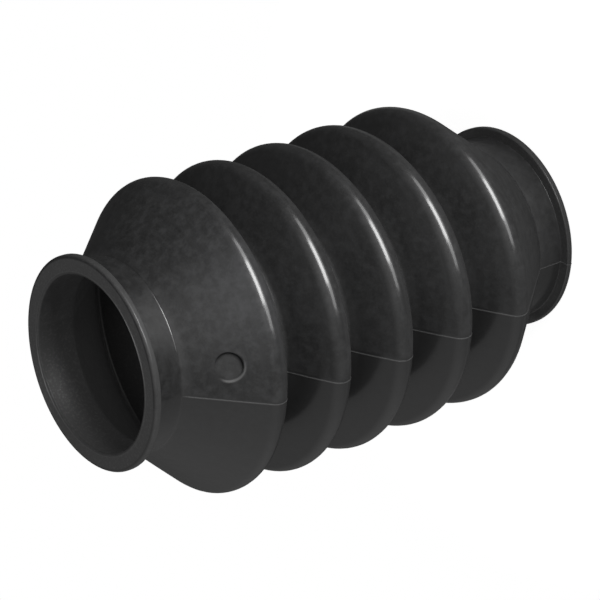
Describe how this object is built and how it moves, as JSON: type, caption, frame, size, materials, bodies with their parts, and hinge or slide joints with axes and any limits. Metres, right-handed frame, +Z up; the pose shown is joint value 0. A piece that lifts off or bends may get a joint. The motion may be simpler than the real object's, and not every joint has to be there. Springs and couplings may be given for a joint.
{
  "type": "rubber bellows boot",
  "caption": "Moulded black rubber bellows boot: round folds between two equal collars with lips, that seals the gap round a moving shaft or joint.",
  "frame": {"origin": "centre of the lower lip's face, on the boot's axis", "axes": "+Z up along the boot's axis, from the lower lip to the upper lip; the mould's parting plane is XZ and the pin mark is on the upper cone, 16 degrees round from +X"},
  "size_m": [0.118, 0.118, 0.1985],
  "materials": {
    "black_rubber": "satin moulded rubber"
  },
  "bodies": {
    "root": {"bellows_boot": "black_rubber"}
  },
  "joints": []
}
